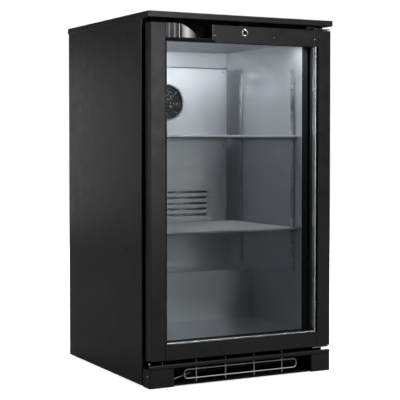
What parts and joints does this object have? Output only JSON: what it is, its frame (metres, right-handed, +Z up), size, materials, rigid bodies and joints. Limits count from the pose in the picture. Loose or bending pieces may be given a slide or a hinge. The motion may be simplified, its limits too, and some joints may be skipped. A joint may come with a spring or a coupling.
{
  "type": "undercounter refrigerator",
  "caption": "Undercounter bottle cooler with one hinged glass door, wire shelves, plinth with wire guard, and a fan-cooled compressor at the base.",
  "frame": {"origin": "on the floor, under the middle of the lid's rectangle", "axes": "+Z up, the door faces -Y, the door's hinge is on the +X side"},
  "size_m": [0.52, 0.52, 0.9],
  "materials": {
    "black_steel": "satin",
    "black_aluminium": "satin",
    "black_plastic": "matte",
    "black_paint": "satin",
    "white_plastic": "satin",
    "galvanised": "satin",
    "liner": "satin",
    "raw_aluminium": "satin",
    "bright_steel": "polished",
    "chrome": "polished",
    "copper": "satin",
    "rubber": "matte",
    "foam": "matte",
    "glass": "gloss",
    "lamp": "satin"
  },
  "bodies": {
    "cabinet": {"top_lid": "black_steel", "side_panel_left": "black_steel", "side_panel_right": "black_steel", "back_panel": "galvanised", "rear_grille": "galvanised", "foam_insulation": "foam", "liner_left": "liner", "liner_right": "liner", "liner_back": "liner", "liner_ceiling": "liner", "liner_floor": "liner", "breaker_frame": "black_plastic", "pilaster_front_left": "bright_steel", "pilaster_front_right": "bright_steel", "pilaster_rear_left": "bright_steel", "pilaster_rear_right": "bright_steel", "base_pan": "black_steel", "plinth_rail": "black_steel", "plinth_post_left": "black_steel", "plinth_post_right": "black_steel", "plinth_wire_guard": "bright_steel", "condenser_coil": "copper", "compressor": "black_paint", "condenser_fan_shroud": "galvanised", "condenser_fan_motor": "black_paint", "filter_drier": "copper", "power_inlet": "black_plastic", "evaporator_cover": "liner", "evaporator_coil": "raw_aluminium", "evaporator_fan_motor": "black_plastic", "led_housing": "white_plastic", "led_diffuser": "lamp", "control_housing": "white_plastic", "hinge_bracket_top": "bright_steel", "hinge_bracket_bottom": "bright_steel", "lock_keeper": "black_steel"},
    "door": {"door_stile_left": "black_aluminium", "door_stile_right": "black_aluminium", "door_rail_top": "black_aluminium", "door_rail_bottom": "black_aluminium", "handle_insert": "bright_steel", "glass_outer": "glass", "glass_inner": "glass", "glass_spacer": "bright_steel", "door_gasket": "rubber", "hinge_bush_top": "white_plastic", "hinge_bush_bottom": "white_plastic", "lock_collar": "chrome"},
    "lock": {"lock_barrel": "chrome", "lock_cam": "bright_steel"},
    "shelf_upper": {"shelf_upper": "bright_steel"},
    "shelf_lower": {"shelf_lower": "bright_steel"},
    "evaporator_fan": {"evaporator_fan": "black_plastic"},
    "condenser_fan": {"condenser_fan": "raw_aluminium"},
    "thermostat_knob": {"thermostat_knob": "white_plastic"},
    "light_switch": {"light_switch": "black_plastic"},
    "foot_front_left": {"foot_front_left": "black_plastic"},
    "foot_front_right": {"foot_front_right": "black_plastic"},
    "foot_rear_left": {"foot_rear_left": "black_plastic"},
    "foot_rear_right": {"foot_rear_right": "black_plastic"}
  },
  "joints": [
    {"name": "door_swing", "type": "hinge", "parent": "cabinet", "child": "door", "pos_m": [0.246, -0.238, 0.066], "axis": [0, 0, 1], "range_deg": [0, 110], "stiffness_Nm_per_rad": 0.3},
    {"name": "lock_turn", "type": "hinge", "parent": "door", "child": "lock", "pos_m": [0.004, -0.2535, 0.8585], "axis": [0, -1, 0], "range_deg": [0, 90]},
    {"name": "shelf_upper_lift", "type": "slide", "parent": "cabinet", "child": "shelf_upper", "axis": [0, 0, 1], "range_m": [0, 0.012]},
    {"name": "shelf_lower_lift", "type": "slide", "parent": "cabinet", "child": "shelf_lower", "axis": [0, 0, 1], "range_m": [0, 0.012]},
    {"name": "evaporator_fan_spin", "type": "hinge", "parent": "cabinet", "child": "evaporator_fan", "pos_m": [0, 0.175, 0.7], "axis": [0, 1, 0], "continuous": true},
    {"name": "condenser_fan_spin", "type": "hinge", "parent": "cabinet", "child": "condenser_fan", "pos_m": [0.074, 0.1835, 0.1], "axis": [1, 0, 0], "continuous": true},
    {"name": "thermostat_turn", "type": "hinge", "parent": "cabinet", "child": "thermostat_knob", "pos_m": [-0.182, 0.06, 0.831], "axis": [0, -1, 0], "range_deg": [0, 270]},
    {"name": "light_switch_rock", "type": "hinge", "parent": "cabinet", "child": "light_switch", "pos_m": [-0.149, 0.061, 0.831], "axis": [1, 0, 0], "range_deg": [0, 16]},
    {"name": "turn_foot_front_left", "type": "hinge", "parent": "cabinet", "child": "foot_front_left", "pos_m": [-0.225, -0.185, 0], "axis": [0, 0, 1], "continuous": true},
    {"name": "turn_foot_front_right", "type": "hinge", "parent": "cabinet", "child": "foot_front_right", "pos_m": [0.225, -0.185, 0], "axis": [0, 0, 1], "continuous": true},
    {"name": "turn_foot_rear_left", "type": "hinge", "parent": "cabinet", "child": "foot_rear_left", "pos_m": [-0.225, 0.225, 0], "axis": [0, 0, 1], "continuous": true},
    {"name": "turn_foot_rear_right", "type": "hinge", "parent": "cabinet", "child": "foot_rear_right", "pos_m": [0.225, 0.225, 0], "axis": [0, 0, 1], "continuous": true}
  ]
}
